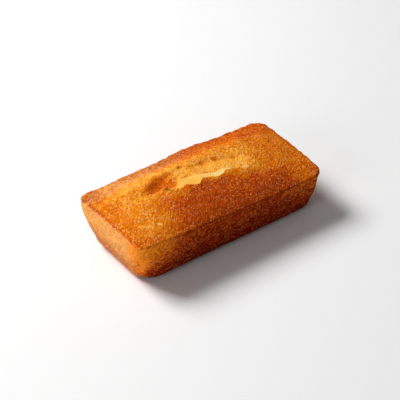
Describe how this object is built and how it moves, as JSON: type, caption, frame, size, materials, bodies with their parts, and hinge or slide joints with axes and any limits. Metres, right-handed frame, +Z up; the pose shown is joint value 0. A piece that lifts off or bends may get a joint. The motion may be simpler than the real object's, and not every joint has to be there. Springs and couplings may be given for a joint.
{
  "type": "financier cake",
  "caption": "Bar-shaped almond cake with tapered mould-baked sides, a domed golden crust and a long crack along its top.",
  "frame": {"origin": "middle of the flat underside, which the cake rests on", "axes": "+X along the cake's length, +Y towards the long side behind the crack, +Z up through the dome"},
  "size_m": [0.0845, 0.04, 0.0247],
  "materials": {
    "crust": "golden-brown baked crust, finely grained, darker at the rims and sides, with pale yellow crumb bared along the crack"
  },
  "bodies": {
    "root": {"financier": "crust"}
  },
  "joints": []
}
